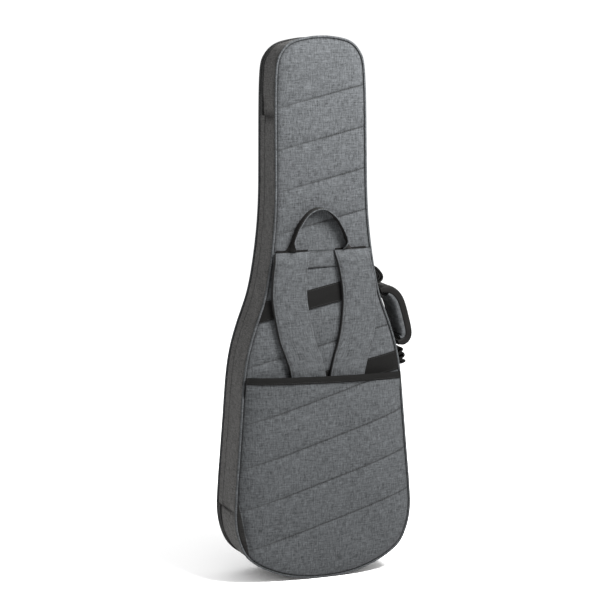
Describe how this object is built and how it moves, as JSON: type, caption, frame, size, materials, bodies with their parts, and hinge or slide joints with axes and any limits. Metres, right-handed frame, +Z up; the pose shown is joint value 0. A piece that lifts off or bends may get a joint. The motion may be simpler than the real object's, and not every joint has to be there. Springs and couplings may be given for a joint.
{
  "type": "padded gig bag",
  "caption": "Padded electric guitar gig bag with shoulder straps, quilted back, back pocket, carry handle and a lid that unzips round the head, side and base.",
  "frame": {"origin": "inside of the grab loop's crown, the point the bag hangs from", "axes": "+Z up the neck; -Y out of the back with the shoulder straps; +Y out of the lid; +X to the side with the carry handle"},
  "size_m": [0.3805, 0.1671, 1.0539],
  "materials": {
    "grey_cloth": "heather grey woven polyester, matt",
    "side_cloth": "darker grey woven polyester, matt",
    "lining": "soft brushed lining",
    "zip_cloth": "woven zip tape with nylon coil",
    "black_webbing": "ribbed woven webbing",
    "foam": "brushed cloth over foam",
    "handle_rubber": "moulded rubber with fine ribs",
    "black_metal": "black plated, satin",
    "black_plastic": "moulded plastic, satin"
  },
  "bodies": {
    "back_shell": {"rear_panel": "grey_cloth", "rear_lining": "lining", "head_gusset": "side_cloth", "zip_side_gusset": "side_cloth", "base_gusset": "side_cloth", "hinge_side_gusset": "side_cloth", "rear_piping": "grey_cloth", "zip_tape_shell": "zip_cloth", "rear_pocket_panel": "grey_cloth", "rear_pocket_binding": "black_webbing", "strap_yoke": "grey_cloth", "upper_web_band": "black_webbing", "lower_web_band": "black_webbing", "handle_anchor_top": "black_webbing", "handle_anchor_low": "black_webbing", "neck_cradle": "foam", "end_block": "foam", "strap_left_tab": "black_webbing", "strap_left_d_ring": "black_metal", "strap_right_tab": "black_webbing", "strap_right_d_ring": "black_metal"},
    "lid": {"front_panel": "grey_cloth", "lid_lining": "lining", "front_piping": "grey_cloth", "zip_tape_lid": "zip_cloth", "front_pocket": "grey_cloth", "front_pocket_zip": "zip_cloth", "neck_pocket": "grey_cloth", "neck_pocket_zip": "zip_cloth"},
    "zip_slider_upper": {"zip_slider_upper": "black_metal"},
    "zip_pull_upper": {"zip_pull_upper": "black_plastic"},
    "zip_slider_lower": {"zip_slider_lower": "black_metal"},
    "zip_pull_lower": {"zip_pull_lower": "black_plastic"},
    "front_pocket_slider": {"front_pocket_slider": "black_metal"},
    "front_pocket_pull": {"front_pocket_pull": "black_plastic"},
    "neck_pocket_slider": {"neck_pocket_slider": "black_metal"},
    "neck_pocket_pull": {"neck_pocket_pull": "black_plastic"},
    "grab_loop": {"grab_loop": "grey_cloth"},
    "carry_handle": {"carry_handle_grip": "handle_rubber", "carry_handle_lining": "side_cloth"},
    "neck_strap": {"neck_strap": "black_webbing"},
    "strap_left_upper": {"strap_left_upper": "grey_cloth"},
    "strap_left_lower": {"strap_left_lower": "grey_cloth"},
    "strap_left_end": {"strap_left_end": "grey_cloth", "strap_left_webbing": "black_webbing", "strap_left_buckle": "black_plastic"},
    "strap_right_upper": {"strap_right_upper": "grey_cloth"},
    "strap_right_lower": {"strap_right_lower": "grey_cloth"},
    "strap_right_end": {"strap_right_end": "grey_cloth", "strap_right_webbing": "black_webbing", "strap_right_buckle": "black_plastic"}
  },
  "joints": [
    {"name": "lid_hinge", "type": "hinge", "parent": "back_shell", "child": "lid", "pos_m": [-0.18179, 0.13563, -0.586], "axis": [0.1166, -0.0274, 0.9928], "range_deg": [0, 150]},
    {"name": "zip_upper_slide", "type": "slide", "parent": "back_shell", "child": "zip_slider_upper", "axis": [-0.1363, -0.0274, 0.9903], "range_m": [0, 0.09]},
    {"name": "zip_upper_pull", "type": "hinge", "parent": "zip_slider_upper", "child": "zip_pull_upper", "pos_m": [0.12741, 0.10876, -0.13238], "axis": [0, -1, 0], "range_deg": [0, 165]},
    {"name": "zip_lower_slide", "type": "slide", "parent": "back_shell", "child": "zip_slider_lower", "axis": [0.3386, 0.026, -0.9406], "range_m": [0, 0.08]},
    {"name": "zip_lower_pull", "type": "hinge", "parent": "zip_slider_lower", "child": "zip_pull_lower", "pos_m": [0.13187, 0.10915, -0.15433], "axis": [0, -1, 0], "range_deg": [0, 125]},
    {"name": "front_pocket_slide", "type": "slide", "parent": "lid", "child": "front_pocket_slider", "axis": [1, 0, 0], "range_m": [0, 0.19]},
    {"name": "front_pocket_pull_hinge", "type": "hinge", "parent": "front_pocket_slider", "child": "front_pocket_pull", "pos_m": [-0.086, 0.14232, -0.285], "axis": [0, 0.0276, -0.9996], "range_deg": [0, 165]},
    {"name": "neck_pocket_slide", "type": "slide", "parent": "lid", "child": "neck_pocket_slider", "axis": [1, 0, 0], "range_m": [0, 0.08]},
    {"name": "neck_pocket_pull_hinge", "type": "hinge", "parent": "neck_pocket_slider", "child": "neck_pocket_pull", "pos_m": [-0.03, 0.12892, 0.164], "axis": [0, 0.0276, -0.9996], "range_deg": [0, 165]},
    {"name": "grab_loop_hinge", "type": "hinge", "parent": "back_shell", "child": "grab_loop", "pos_m": [0, 0.0085, -0.065], "axis": [1, 0, 0], "range_deg": [0, 65], "stiffness_Nm_per_rad": 0.2},
    {"name": "carry_handle_hinge", "type": "hinge", "parent": "back_shell", "child": "carry_handle", "pos_m": [0.141, 0.07, -0.172], "axis": [-0.3521, 0, 0.9359], "range_deg": [-25, 14]},
    {"name": "neck_strap_hinge", "type": "hinge", "parent": "back_shell", "child": "neck_strap", "pos_m": [-0.048, 0.0756, 0.004], "axis": [0, 0, 1], "range_deg": [0, 120]},
    {"name": "strap_left_top", "type": "hinge", "parent": "back_shell", "child": "strap_left_upper", "pos_m": [-0.05, 0.009, -0.078], "axis": [-1, 0, 0], "range_deg": [0, 25]},
    {"name": "strap_left_mid", "type": "hinge", "parent": "strap_left_upper", "child": "strap_left_lower", "pos_m": [-0.06, 0.009, -0.196], "axis": [-1, 0, 0], "range_deg": [-50, 0]},
    {"name": "strap_left_low", "type": "hinge", "parent": "strap_left_lower", "child": "strap_left_end", "pos_m": [-0.032, -0.003, -0.314], "axis": [-1, 0, 0], "range_deg": [0, 25]},
    {"name": "strap_right_top", "type": "hinge", "parent": "back_shell", "child": "strap_right_upper", "pos_m": [0.07, 0.009, -0.078], "axis": [-1, 0, 0], "range_deg": [0, 25]},
    {"name": "strap_right_mid", "type": "hinge", "parent": "strap_right_upper", "child": "strap_right_lower", "pos_m": [0.08, 0.009, -0.196], "axis": [-1, 0, 0], "range_deg": [-50, 0]},
    {"name": "strap_right_low", "type": "hinge", "parent": "strap_right_lower", "child": "strap_right_end", "pos_m": [0.052, -0.003, -0.314], "axis": [-1, 0, 0], "range_deg": [0, 25]}
  ],
  "couplings": [
    {"joint": "neck_strap_hinge", "follows": "lid_hinge", "ratio": 0.8},
    {"joint": "strap_left_mid", "follows": "strap_left_top", "ratio": -2},
    {"joint": "strap_left_low", "follows": "strap_left_top", "ratio": 1},
    {"joint": "strap_right_mid", "follows": "strap_right_top", "ratio": -2},
    {"joint": "strap_right_low", "follows": "strap_right_top", "ratio": 1}
  ]
}
